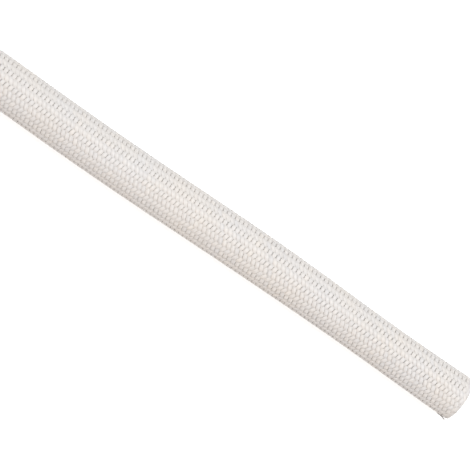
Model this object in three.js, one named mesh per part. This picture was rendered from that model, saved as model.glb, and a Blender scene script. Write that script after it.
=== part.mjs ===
// One cut length of white glass fibre cable sleeve, braided as a seamless tube.
// Millimetres, +Z up. The sleeve lies along X on the plane Z = 0, with its origin on that plane
// under the middle of its length. It is soft, so its own weight flattens its round section a
// little, it lies in a faint sway from side to side, and it is drawn a little narrower near the
// cut end at +X.
import * as THREE from "three";

// Driving dimensions
const sleeveLength = 1000; // a one metre cut length
const boreWidth = 16; // nominal bore, across
const wallThickness = 1; // two crossed layers of yarn
const restingHeightShare = 0.97; // height of the section over its width, as it lies

// The faint sway of the centreline in plan
const swayReach = 0.4; // to each side
const swayLength = 155; // from one crest to the next
const swayCrestToEnd = 83; // from the +X end back to the crest on the +Y side

// The narrower stretch near the +X end
const neckDepth = 0.5; // taken off the radius at the narrowest place
const neckToEnd = 39; // from the +X end back to the narrowest place
const neckSpread = 36; // how far each way the narrowing fades

// Fineness of the faceted surface
const sidesRound = 24;
const stepsAlong = 72;

const sideAngle = (2 * Math.PI) / sidesRound;
const acrossCorners = 1 / Math.cos(sideAngle / 2); // sizes are across the flats, and vertices sit on corners

function alongAt(step) {
  return sleeveLength * (step / stepsAlong - 0.5);
}

function toEndAt(along) {
  return sleeveLength / 2 - along;
}

function swayAt(along) {
  const turns = (toEndAt(along) - swayCrestToEnd) / swayLength;
  return swayReach * Math.cos(2 * Math.PI * turns);
}

function boreRadiusAt(along) {
  const fromNeck = (toEndAt(along) - neckToEnd) / neckSpread;
  return boreWidth / 2 - neckDepth * Math.exp(-fromNeck * fromNeck);
}

function outerRadiusAt(along) {
  return boreRadiusAt(along) + wallThickness;
}

// The wall's section in the half plane of the axis: out along the bore and back along the outside.
function wallProfile() {
  const bore = [];
  const outside = [];
  for (let step = 0; step <= stepsAlong; step += 1) {
    const along = alongAt(step);
    bore.push(new THREE.Vector2(boreRadiusAt(along) * acrossCorners, along));
    outside.unshift(new THREE.Vector2(outerRadiusAt(along) * acrossCorners, along));
  }
  return [...bore, ...outside, bore[0].clone()];
}

// Lays the turned tube down along X, flattens it and carries each ring to its place on the floor.
function layDown(geometry) {
  const place = geometry.getAttribute("position");
  for (let i = 0; i < place.count; i += 1) {
    const along = place.getY(i);
    const across = place.getX(i);
    const up = place.getZ(i);
    const bottomToAxis = outerRadiusAt(along);
    place.setXYZ(i, along, across + swayAt(along), (up + bottomToAxis) * restingHeightShare);
  }
  geometry.computeVertexNormals();
  return geometry;
}

function braidedSleeve() {
  const turned = new THREE.LatheGeometry(wallProfile(), sidesRound, sideAngle / 2);
  const glassYarn = new THREE.MeshStandardMaterial({ color: 0xe8e3dc, roughness: 0.55, metalness: 0 });
  const sleeve = new THREE.Mesh(layDown(turned), glassYarn);
  sleeve.name = "braided_sleeve";
  return sleeve;
}

const part = new THREE.Group();
part.add(braidedSleeve());

export default part;
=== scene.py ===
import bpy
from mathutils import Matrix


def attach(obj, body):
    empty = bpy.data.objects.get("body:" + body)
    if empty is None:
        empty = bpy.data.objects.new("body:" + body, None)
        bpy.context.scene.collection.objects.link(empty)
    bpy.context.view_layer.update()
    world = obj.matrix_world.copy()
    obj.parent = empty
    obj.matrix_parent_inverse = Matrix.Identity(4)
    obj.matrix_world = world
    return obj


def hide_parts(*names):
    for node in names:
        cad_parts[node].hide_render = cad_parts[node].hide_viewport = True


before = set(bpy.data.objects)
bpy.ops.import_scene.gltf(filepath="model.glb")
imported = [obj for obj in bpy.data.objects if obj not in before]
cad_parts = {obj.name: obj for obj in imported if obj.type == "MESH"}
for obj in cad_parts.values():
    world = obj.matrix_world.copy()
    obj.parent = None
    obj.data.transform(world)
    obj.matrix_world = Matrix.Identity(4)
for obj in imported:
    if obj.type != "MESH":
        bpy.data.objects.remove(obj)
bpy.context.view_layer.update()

import math

import bpy
from mathutils import Matrix, Vector

# One metre of white braided glass fibre sleeve. All of its yarns are real: 12 run round it one way
# and 12 the other, each over one and under the next. Sizes are in metres, angles in degrees.

sleeve = {
    "sleeveLength": 1.0,
    "boreRadius": 0.008,
    "wallThickness": 0.001,
    "restingHeightShare": 0.97,  # the soft section settles a little under its own weight
    "swayReach": 0.0004,  # the centreline sways this far to each side
    "swayLength": 0.155,  # from one crest of the sway to the next
    "swayCrestToEnd": 0.083,  # from the +X end back to a crest on the +Y side
    "neckDepth": 0.0005,  # taken off the radius where the sleeve is narrowest
    "neckToEnd": 0.039,  # from the +X end back to that place
    "neckSpread": 0.036,  # how far each way the narrowing fades
}

weave = {
    "yarnsEachWay": 12,
    "yarnsPerPiece": 4,  # so that a piece stays under 200,000 triangles
    "stationsPerPitch": 6,  # one on each crest, one in each trough and two on each slope
}

braid = {
    "pitch": 0.001795,  # along the sleeve, from one stitch to the next in a row
    "stretch": 0.03,  # the pitch is this share longer or shorter from place to place
    "stretchLength": 0.2,  # over which it goes through this once
    "stretchCrestToEnd": 0.059,  # from the +X end back to where it is longest
    "rowTurn": 17.0,  # from the top to a row of stitches, towards -Y
    "ringLean": -0.17,  # the rings of stitches lean a little, sideways
    "ringTip": 0.41,  # and forwards
    "overUnder": 0.0002,  # how far a yarn rises and dives
    "levelCrown": 1.7,  # above 1, it stays level for a while on its crowns and in its dives
    "yarnWidth": 0.002,  # on its crowns, where it is pressed flat
    "slopeWidth": 0.7,  # share of that width on the slopes between them
    "yarnThickness": 0.00053,
    "yarnPerSleeve": 2.7,  # metres of yarn in a metre of sleeve
    "stationsPerYarn": 3391,  # enough to reach past both cuts
    "seed": 7.3,
    "yarnApart": 3.7,  # the noise is read this far apart from yarn to yarn
    "handApart": 41.0,  # and from one way round to the other
    "turnRate": 90.0,  # how often its place round the sleeve wanders in a metre
    "unevenTurn": 1.0,
    "heightRate": 420.0,  # how often its height does
    "heightMiddle": 0.6,  # the noise at which a yarn keeps its height
    "unevenHeight": 0.00008,
    "widthRate": 260.0,  # and its width
    "unevenWidth": 0.24,
    "toneRate": 14.0,  # and its tone
    "toneApart": 5.1,  # times as far apart from yarn to yarn as the rest
    "streakApart": 0.013,  # the streaks of filaments are shifted from yarn to yarn
    "fusedDepth": 0.0009,  # the ends are sealed: the yarns grow flat and closed over this length
    "fusedStart": 1.6,  # which starts this many times itself before the cut
    "fusedLevel": 0.8,  # the share of a rise or dive that the seal takes away
    "fusedSpread": 0.25,  # how much wider it makes a yarn
    "fusedPaintedCrownLight": 0.6,  # its painted light on the seal, from a stitch's edge at 0 (painted shade) to its crown at 1 (painted highlight)
    "cutMargin": 0.0012,  # the yarns are grown this far past the cut, then pressed together on its plane
    "cutPress": 0.1,  # to this share of what stands out
}

noiseLayer = {"turn": 0.0, "tone": 3.0, "height": 9.0, "width": 21.0}

yarnSection = {  # five corners on a circle of radius 1
    "corners": 5,
    "cornerTurn": 72.0,
    "firstTurn": 36.0,
    "offCentre": 0.0955,  # from the circle's centre back to the middle of the section's depth
    "depth": 1.809,
    "breadth": 1.902,
}


class Signal:  # a node's output that takes part in Python sums
    def __init__(self, bench, socket):
        self.bench = bench
        self.socket = socket

    def output(self, name):
        return Signal(self.bench, self.socket.node.outputs[name])

    def maths(self, operation, *values):
        sockets = dict(enumerate((self, *values)))
        return self.bench.node("ShaderNodeMath", {"operation": operation}, sockets)

    def __add__(self, other):
        return self.maths("ADD", other)

    def __radd__(self, other):
        return self.maths("ADD", other)

    def __sub__(self, other):
        return self.maths("SUBTRACT", other)

    def __rsub__(self, other):
        return self.maths("MULTIPLY", -1.0).maths("ADD", other)

    def __mul__(self, other):
        return self.maths("MULTIPLY", other)

    def __rmul__(self, other):
        return self.maths("MULTIPLY", other)

    def __truediv__(self, other):
        return self.maths("DIVIDE", other)

    def __neg__(self):
        return self.maths("MULTIPLY", -1.0)

    def floor(self):
        return self.maths("FLOOR")

    def sine(self):
        return self.maths("SINE")

    def cosine(self):
        return self.maths("COSINE")

    def between(self, low, high):
        return self.maths("MAXIMUM", low).maths("MINIMUM", high)


class NodeBench:  # makes the nodes of one tree
    def __init__(self, tree):
        self.tree = tree

    def node(self, kind, settings=None, sockets=None, output=0):
        made = self.tree.nodes.new(kind)
        for name, value in (settings or {}).items():
            setattr(made, name, value)
        for key, value in (sockets or {}).items():
            if isinstance(value, Signal):
                self.tree.links.new(value.socket, made.inputs[key])
            else:
                made.inputs[key].default_value = value
        return Signal(self, made.outputs[output])

    def vector(self, x, y, z):
        return self.node("ShaderNodeCombineXYZ", None, {0: x, 1: y, 2: z})

    def noise(self, place, scale=1.0, detail=0.0):
        sockets = {"Vector": place, "Scale": scale, "Detail": detail}
        return self.node("ShaderNodeTexNoise", None, sockets)

    def chance(self, low, high, number, seed):
        sockets = {2: low, 3: high, 7: number, 8: seed}
        return self.node("FunctionNodeRandomValue", {"data_type": "FLOAT"}, sockets, 1)

    def keep(self, geometry, name, kind, value):
        settings = {"data_type": kind, "domain": "POINT"}
        sockets = {"Geometry": geometry, "Name": name, "Value": value}
        return self.node("GeometryNodeStoreNamedAttribute", settings, sockets)

    def kept(self, name, kind):
        return self.node("GeometryNodeInputNamedAttribute", {"data_type": kind}, {"Name": name})

    def dropped(self, geometry, name):
        return self.node("GeometryNodeRemoveAttribute", None, {"Geometry": geometry, "Name": name})


def openTree(name, sizes):
    tree = bpy.data.node_groups.new(name, "GeometryNodeTree")
    for size, value in sizes.items():
        kind = "NodeSocketInt" if isinstance(value, int) else "NodeSocketFloat"
        tree.interface.new_socket(size, in_out="INPUT", socket_type=kind)
    tree.interface.new_socket("material", in_out="INPUT", socket_type="NodeSocketMaterial")
    tree.interface.new_socket("Geometry", in_out="OUTPUT", socket_type="NodeSocketGeometry")
    bench = NodeBench(tree)
    given = bench.node("NodeGroupInput")
    return bench, given, {size: given.output(size) for size in sizes}


def closeTree(bench, given, geometry):  # ends in real, dressed geometry
    smooth = bench.node("GeometryNodeSetShadeSmooth", None, {"Geometry": geometry})
    real = bench.node("GeometryNodeRealizeInstances", None, {"Geometry": smooth})
    sockets = {"Geometry": real, "Material": given.output("material")}
    dressed = bench.node("GeometryNodeSetMaterial", None, sockets)
    last = bench.tree.nodes.new("NodeGroupOutput")
    bench.tree.links.new(dressed.socket, last.inputs[0])


def lieAt(bench, size, along):  # the sleeve's centre and bore at a place along it
    toEnd = 0.5 * size["sleeveLength"] - along
    turns = (toEnd - size["swayCrestToEnd"]) / size["swayLength"]
    sway = size["swayReach"] * (turns * (2 * math.pi)).cosine()
    fromNeck = (toEnd - size["neckToEnd"]) / size["neckSpread"]
    narrowing = size["neckDepth"] * (-(fromNeck * fromNeck)).maths("EXPONENT")
    bore = size["boreRadius"] - narrowing
    return sway, bore


def keepOnPath(bench, points, values):
    for name, kind, value in values:
        points = bench.keep(points, name, kind, value)
    return points


def drawPaths(bench, points):  # one path for each yarn, with its outer side kept
    sockets = {"Points": points, "Curve Group ID": bench.kept("yarn", "INT")}
    paths = bench.node("GeometryNodePointsToCurves", None, sockets)
    sockets = {"Curve": paths, "Normal": bench.kept("outward", "FLOAT_VECTOR")}
    return bench.node("GeometryNodeSetCurveNormal", {"mode": "FREE"}, sockets)


def dressPaths(bench, paths, section):  # lays a closed section along the paths
    girth = bench.kept("girth", "FLOAT")
    sweep = {"Curve": paths, "Profile Curve": section, "Fill Caps": True, "Scale": girth}
    yarns = bench.node("GeometryNodeCurveToMesh", None, sweep)
    place = bench.node("ShaderNodeSeparateXYZ", None, {0: bench.kept("section", "FLOAT_VECTOR")})
    strand = bench.vector(place.output("X"), place.output("Y"), bench.kept("alongYarn", "FLOAT"))
    yarns = bench.keep(yarns, "strand", "FLOAT_VECTOR", strand)
    for used in ("outward", "section", "alongYarn", "girth", "yarn"):
        yarns = bench.dropped(yarns, used)
    return yarns


def makeYarnSection(bench, size):  # level outwards, with thin edges, and a ridge inwards
    sockets = {"Resolution": yarnSection["corners"], "Radius": 1.0}
    ring = bench.node("GeometryNodeCurvePrimitiveCircle", {"mode": "RADIUS"}, sockets)
    turn = bench.node("GeometryNodeInputIndex") * yarnSection["cornerTurn"] + yarnSection["firstTurn"]
    corner = turn * math.radians(1.0)
    thick = (corner.cosine() + yarnSection["offCentre"]) * size["yarnThickness"]
    wide = corner.sine() * size["yarnWidth"]
    flat = bench.vector(thick * (1 / yarnSection["depth"]), wide * (1 / yarnSection["breadth"]), 0.0)
    ring = bench.node("GeometryNodeSetPosition", None, {"Geometry": ring, "Position": flat})
    return bench.keep(ring, "section", "FLOAT_VECTOR", flat)


def pressOnCut(bench, size, yarns):  # what stands out past a cut end goes back to its plane
    grown = bench.node("ShaderNodeSeparateXYZ", None, {0: bench.node("GeometryNodeInputPosition")})
    half = 0.5 * size["sleeveLength"]
    inside = grown.between(-half, half)
    pressed = inside + (grown - inside) * size["cutPress"]
    squared = bench.vector(pressed, grown.output("Y"), grown.output("Z"))
    return bench.node("GeometryNodeSetPosition", None, {"Geometry": yarns, "Position": squared})


def growBraidTree(sizes):
    bench, given, size = openTree("braidedYarns", sizes)
    stations = size["stationsPerYarn"]
    index = bench.node("GeometryNodeInputIndex")
    yarnHere = ((index + 0.5) / stations).floor()
    station = index - yarnHere * stations
    yarn = yarnHere + size["firstYarn"]
    hand = size["hand"]

    yarnTurn = 360.0 / weave["yarnsEachWay"]
    steps = (station - (stations - 1) * 0.5) / float(weave["stationsPerPitch"])
    even = size["pitch"] * steps
    turn = hand * yarnTurn * steps + yarnTurn * yarn
    wave = (turn * math.radians(weave["yarnsEachWay"])).cosine()
    over = hand * (wave * size["levelCrown"]).between(-1.0, 1.0)
    spread = size["slopeWidth"] + (1.0 - size["slopeWidth"]) * wave.maths("ABSOLUTE")
    fromCrest = (even - 0.5 * size["sleeveLength"] + size["stretchCrestToEnd"]) / size["stretchLength"]
    shift = size["stretch"] * size["stretchLength"] / (2 * math.pi) * (fromCrest * (2 * math.pi)).sine()
    alongFlat = even + shift

    # nothing braided lies quite even
    own = yarn * size["yarnApart"] + hand * size["handApart"] + size["seed"]

    def wander(rate, layer):
        return bench.noise(bench.vector(alongFlat * size[rate], own, noiseLayer[layer]), 1.0, 1.0)

    slow = wander("turnRate", "turn")
    quick = wander("heightRate", "height")
    girth = wander("widthRate", "width")
    turnHere = turn + size["rowTurn"] + (slow - 0.5) * size["unevenTurn"]
    angle = turnHere * math.radians(1.0)

    sway, bore = lieAt(bench, size, alongFlat)
    outer = bore + size["wallThickness"]
    middle = bore + 0.5 * size["wallThickness"]
    flatAside = -(middle * angle.sine())
    flatUp = middle * angle.cosine()
    along = alongFlat + size["ringLean"] * flatAside + size["ringTip"] * flatUp
    pastCut = along.maths("ABSOLUTE") - 0.5 * size["sleeveLength"]
    fused = (pastCut / size["fusedDepth"] + size["fusedStart"]).between(0.0, 1.0)
    rise = over * size["overUnder"] * (1.0 - size["fusedLevel"] * fused)
    lift = rise + (quick - size["heightMiddle"]) * size["unevenHeight"]
    aside = flatAside - lift * angle.sine()
    up = flatUp + lift * angle.cosine()
    place = bench.vector(along, sway + aside, size["restingHeightShare"] * (outer + up))
    spread = spread + fused * size["fusedSpread"]
    # painted light: each stitch is lighter on its crown, a painted highlight, and darker where it dives
    # under the next yarn, painted shade; the seal gets one level of it
    paintedCrownLight = hand * wave * (1.0 - fused) + fused * size["fusedPaintedCrownLight"]
    toneAt = bench.vector(alongFlat * size["toneRate"], own * size["toneApart"], noiseLayer["tone"])

    count = stations * size["yarnsHere"]
    cloud = bench.node("GeometryNodePoints", None, {"Count": count, "Position": place})
    cloud = keepOnPath(bench, cloud, (
        ("outward", "FLOAT_VECTOR", bench.vector(0.0, -angle.sine(), angle.cosine())),
        ("yarn", "INT", yarn),
        ("girth", "FLOAT", spread + (girth - 0.5) * size["unevenWidth"]),
        ("alongYarn", "FLOAT", alongFlat * size["yarnPerSleeve"] + own * size["streakApart"]),
        ("yarnTone", "FLOAT", bench.noise(toneAt)),
        ("paintedCrownLight", "FLOAT", paintedCrownLight),
    ))
    settings = {"data_type": "FLOAT", "operation": "GREATER_THAN"}
    past = bench.node("FunctionNodeCompare", settings, {0: pastCut, 1: size["cutMargin"]})
    sockets = {"Geometry": cloud, "Selection": past}
    cut = bench.node("GeometryNodeDeleteGeometry", {"domain": "POINT"}, sockets)
    yarns = dressPaths(bench, drawPaths(bench, cut), makeYarnSection(bench, size))
    closeTree(bench, given, pressOnCut(bench, size, yarns))
    return bench.tree


# loose fibres stand all round at both cut ends
fibres = {
    "fibresHere": 60,
    "fibreRadius": 0.00004,
    "stationsPerFibre": 5,
    "rootDepth": 0.0012,  # they start this far before the cut
    "reachLow": 0.0002,  # and end this far past it
    "reachHigh": 0.0009,
    "turnLow": 0.0,
    "turnHigh": 360.0,
    "drift": 9.0,  # how far a fibre strays round the sleeve, at most
    "depthLow": 0.3,  # share of the wall, from the bore outwards
    "depthHigh": 0.95,
    "bow": 0.0005,  # how far it bends outwards, at most
    "bowLeast": 0.2,  # share of that, at least
    "girthLow": 0.8,
    "girthHigh": 1.3,
    "taper": 0.4,  # share of its girth that it loses towards its tip
    "floorGap": 0.00015,  # its centre lies no lower than this
    "streakApart": 0.017,  # the streaks are shifted from fibre to fibre
    "tone": 0.5,
    # the level of painted highlight and painted shade from the crown share that the fibres get
    "paintedCrownLight": 0.6,
    "seed": 11,
}

# and one darker strand is at the lower corner of the end that the photo shows
looseStrand = {
    **fibres,
    "fibresHere": 12,
    "fibreRadius": 0.00008,
    "stationsPerFibre": 6,
    "rootDepth": 0.0034,
    "reachLow": -0.0004,
    "reachHigh": 0.0006,
    "turnLow": 84.0,
    "turnHigh": 92.0,
    "drift": 3.0,
    "depthLow": 0.95,
    "depthHigh": 1.1,
    "bow": 0.0008,
    "tone": -1.1,
    "seed": 5,
}


def growFibreTree(sizes):
    bench, given, size = openTree("looseFibres", sizes)
    stations = size["stationsPerFibre"]
    index = bench.node("GeometryNodeInputIndex")
    fibre = ((index + 0.5) / stations).floor()
    share = (index - fibre * stations) / (stations - 1.0)

    def chance(low, high, draw):
        return bench.chance(low, high, fibre, size["seed"] + float(draw))

    turn = chance(size["turnLow"], size["turnHigh"], 1) + chance(-1.0, 1.0, 2) * size["drift"] * share
    angle = turn * math.radians(1.0)
    run = size["rootDepth"] + chance(size["reachLow"], size["reachHigh"], 3)
    along = size["end"] * (0.5 * size["sleeveLength"] - size["rootDepth"] + run * share)
    sway, bore = lieAt(bench, size, along)
    outer = bore + size["wallThickness"]
    reach = bore + size["wallThickness"] * chance(size["depthLow"], size["depthHigh"], 4)
    reach = reach + chance(size["bowLeast"], 1.0, 5) * size["bow"] * share * share
    aside = -(reach * angle.sine())
    height = size["restingHeightShare"] * (outer + reach * angle.cosine())
    place = bench.vector(along, sway + aside, height.maths("MAXIMUM", size["floorGap"]))

    count = stations * size["fibresHere"]
    cloud = bench.node("GeometryNodePoints", None, {"Count": count, "Position": place})
    girth = chance(size["girthLow"], size["girthHigh"], 6) * (1.0 - size["taper"] * share)
    cloud = keepOnPath(bench, cloud, (
        ("outward", "FLOAT_VECTOR", bench.vector(0.0, -angle.sine(), angle.cosine())),
        ("yarn", "INT", fibre),
        ("girth", "FLOAT", girth),
        ("alongYarn", "FLOAT", along + fibre * size["streakApart"]),
        ("yarnTone", "FLOAT", size["tone"]),
        ("paintedCrownLight", "FLOAT", size["paintedCrownLight"]),
    ))
    sockets = {"Resolution": 3, "Radius": size["fibreRadius"]}
    ring = bench.node("GeometryNodeCurvePrimitiveCircle", {"mode": "RADIUS"}, sockets)
    ring = bench.keep(ring, "section", "FLOAT_VECTOR", bench.node("GeometryNodeInputPosition"))
    closeTree(bench, given, dressPaths(bench, drawPaths(bench, cloud), ring))
    return bench.tree


finish = {
    "cool": (0.77, 0.745, 0.73, 1.0),
    "warm": (0.79, 0.74, 0.69, 1.0),
    "mottleScale": 70.0,
    "mottleWarmth": 1.6,
    "toneWarmth": 1.2,
    "middleWarmth": 0.45,  # 0 is all cool and 1 all warm
    "filamentScale": (16000, 16000, 260),  # across a yarn, through it and along it
    "bundleScale": (5200, 5200, 110),
    "leastShade": 0.66,  # the colour's share before the next four are added
    # painted highlight on each stitch's crown and painted shade where it dives
    "paintedCrownLightShare": 0.09,
    "filamentShade": 0.2,
    "bundleShade": 0.3,
    "toneShade": 0.08,
    "roughness": 0.5,
    "roughnessSpread": 0.3,
    "specular": 0.35,
    "sheen": 0.05,
    "sheenRoughness": 0.4,
    "bumpStrength": 0.8,
    "bumpDistance": 0.00006,
    "filamentBump": 0.6,
}


def makeGlassYarn():
    material = bpy.data.materials.new("glassYarn")
    material.use_nodes = True
    tree = material.node_tree
    tree.nodes.clear()
    bench = NodeBench(tree)

    def attribute(name, output):
        return bench.node("ShaderNodeAttribute", {"attribute_name": name}, None, output)

    def stretched(place, scale, detail):
        place = bench.node("ShaderNodeVectorMath", {"operation": "MULTIPLY"}, {0: place, 1: scale})
        return bench.noise(place, 1.0, detail)

    place = attribute("strand", "Vector")
    tone = attribute("yarnTone", "Fac") - 0.5
    paintedCrownLight = attribute("paintedCrownLight", "Fac")
    filaments = stretched(place, finish["filamentScale"], 2.0)
    bundles = stretched(place, finish["bundleScale"], 1.0)
    ground = bench.node("ShaderNodeTexCoord", None, None, "Object")
    mottle = bench.noise(ground, finish["mottleScale"], 2.0)

    warmth = (mottle - 0.5) * finish["mottleWarmth"] + tone * finish["toneWarmth"]
    warmth = (warmth + finish["middleWarmth"]).between(0.0, 1.0)
    sockets = {0: warmth, 6: finish["cool"], 7: finish["warm"]}
    colour = bench.node("ShaderNodeMix", {"data_type": "RGBA"}, sockets, 2)
    # the crown share is painted light: a painted highlight on the crowns and painted shade at the dives
    shade = finish["leastShade"] + paintedCrownLight * finish["paintedCrownLightShare"]
    shade = shade + filaments * finish["filamentShade"] + bundles * finish["bundleShade"]
    shade = shade + tone * finish["toneShade"]
    grey = bench.node("ShaderNodeCombineColor", None, {0: shade, 1: shade, 2: shade})
    sockets = {0: 1.0, 6: colour, 7: grey}
    colour = bench.node("ShaderNodeMix", {"data_type": "RGBA", "blend_type": "MULTIPLY"}, sockets, 2)

    bump = bench.node("ShaderNodeBump", None, {
        "Strength": finish["bumpStrength"],
        "Distance": finish["bumpDistance"],
        "Height": filaments * finish["filamentBump"] + bundles,
    })
    shader = bench.node("ShaderNodeBsdfPrincipled", None, {
        "Base Color": colour,
        "Roughness": finish["roughness"] + (filaments - 0.5) * finish["roughnessSpread"],
        "Normal": bump,
        "Sheen Weight": finish["sheen"],
        "Sheen Roughness": finish["sheenRoughness"],
        "Specular IOR Level": finish["specular"],
    })
    last = tree.nodes.new("ShaderNodeOutputMaterial")
    tree.links.new(shader.socket, last.inputs[0])
    return material


def runTree(name, tree, values, material):  # grows a piece and keeps it as a plain mesh
    piece = bpy.data.objects.new(name, bpy.data.meshes.new(name))
    bpy.context.scene.collection.objects.link(piece)
    grown = piece.modifiers.new("grow", "NODES")
    grown.node_group = tree
    for item in tree.interface.items_tree:
        if item.in_out == "INPUT":
            grown[item.identifier] = material if item.name == "material" else values[item.name]
    bpy.context.view_layer.update()
    seen = bpy.context.evaluated_depsgraph_get()
    plain = bpy.data.meshes.new_from_object(piece.evaluated_get(seen), depsgraph=seen)
    piece.modifiers.remove(grown)
    piece.data = plain
    plain.name = name
    print(name, len(plain.polygons), "faces")
    return piece


glassYarn = makeGlassYarn()
print("glass yarn ready")

yarnsHere = weave["yarnsPerPiece"]
braidTree = growBraidTree({**sleeve, **braid, "yarnsHere": yarnsHere, "firstYarn": 0, "hand": 1.0})
print("braid tree ready")

pieces = []
for word, hand in (("right", 1.0), ("left", -1.0)):
    for group in range(weave["yarnsEachWay"] // yarnsHere):
        share = {"yarnsHere": yarnsHere, "firstYarn": yarnsHere * group, "hand": hand}
        name = f"yarns_{word}_hand_{group + 1}"
        pieces.append(runTree(name, braidTree, {**sleeve, **braid, **share}, glassYarn))

fibreTree = growFibreTree({**sleeve, **fibres, "end": 1.0})
print("fibre tree ready")
for name, loose, end in (("loose_fibres_right", fibres, 1.0),
                         ("loose_fibres_left", fibres, -1.0),
                         ("loose_strand_right", looseStrand, 1.0)):
    pieces.append(runTree(name, fibreTree, {**sleeve, **loose, "end": end}, glassYarn))

for piece in pieces:
    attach(piece, "root")
    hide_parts("braided_sleeve")
print(len(pieces), "pieces ride on the root")

# a plain studio: pale floor, white sky, a cool lamp from above and a weak warm one from the front
studio = {
    "floorSide": 6.0,
    "floorColour": (0.93, 0.93, 0.93, 1.0),
    "floorRoughness": 0.8,
    "floorSpecular": 0.1,
    "floorGlow": 0.45,  # the floor is a light table, so that shadows on it stay faint
    "white": (1.0, 1.0, 1.0, 1.0),
    "skyStrength": 0.66,
    "lampAim": (0.4, 0.0, 0.0),
    "keyPlace": (0.5, 0.42, 1.22),
    "keySide": 0.5,
    "keyPower": 8.8,
    "keyColour": (0.96, 0.98, 1.0),
    "fillPlace": (0.2, -1.0, 0.6),
    "fillSide": 0.8,
    "fillPower": 0.95,
    "fillColour": (1.0, 0.42, 0.04),
}

half = studio["floorSide"] / 2
floorCorners = [(-half, -half, 0), (half, -half, 0), (half, half, 0), (-half, half, 0)]
floorMesh = bpy.data.meshes.new("floor")
floorMesh.from_pydata(floorCorners, [], [(0, 1, 2, 3)])
floor = bpy.data.objects.new("floor", floorMesh)
bpy.context.scene.collection.objects.link(floor)
floorPaint = bpy.data.materials.new("paleFloor")
floorPaint.use_nodes = True
shader = floorPaint.node_tree.nodes["Principled BSDF"]
shader.inputs["Base Color"].default_value = studio["floorColour"]
shader.inputs["Roughness"].default_value = studio["floorRoughness"]
shader.inputs["Specular IOR Level"].default_value = studio["floorSpecular"]
shader.inputs["Emission Color"].default_value = studio["white"]
shader.inputs["Emission Strength"].default_value = studio["floorGlow"]
floorMesh.materials.append(floorPaint)
floor.visible_diffuse = False  # so that its glow doesn't wash out the sleeve's sides

world = bpy.data.worlds.new("studio")
bpy.context.scene.world = world
world.use_nodes = True
sky = world.node_tree.nodes["Background"]
sky.inputs["Color"].default_value = studio["white"]
sky.inputs["Strength"].default_value = studio["skyStrength"]

for name in ("key", "fill"):
    lamp = bpy.data.lights.new(name, "AREA")
    lamp.shape = "SQUARE"
    lamp.size = studio[name + "Side"]
    lamp.energy = studio[name + "Power"]
    lamp.color = studio[name + "Colour"]
    light = bpy.data.objects.new(name, lamp)
    light.location = studio[name + "Place"]
    light.rotation_euler = (Vector(studio["lampAim"]) - light.location).to_track_quat("-Z", "Y").to_euler()
    bpy.context.scene.collection.objects.link(light)
print("studio ready")

# A long lens looks down on the sleeve, tilted towards the cut end, which is a little farther away.
# It is turned so that the sleeve runs from the upper left of the picture to the lower right.
lens = {
    "pictureSide": 470,
    "focalLength": 2501,  # in pixels of the picture
    "sensorWidth": 36.0,  # in millimetres
    "nearClip": 0.01,
    "turn": 34.69,
    "tilt": 12.5,
    "aim": (0.39545, 0.00233, 0.00873),
    "distance": 0.9,
}
camera = bpy.data.objects.new("camera", bpy.data.cameras.new("camera"))
camera.data.sensor_width = lens["sensorWidth"]
camera.data.lens = lens["sensorWidth"] * lens["focalLength"] / lens["pictureSide"]
camera.data.clip_start = lens["nearClip"]
camera.matrix_world = (
    Matrix.Translation(lens["aim"])
    @ Matrix.Rotation(-math.radians(lens["tilt"]), 4, "Y")
    @ Matrix.Rotation(math.radians(lens["turn"]), 4, "Z")
    @ Matrix.Translation((0, 0, lens["distance"]))
)
bpy.context.scene.collection.objects.link(camera)
bpy.context.scene.camera = camera
bpy.context.scene.view_settings.view_transform = "Standard"
print("camera ready")
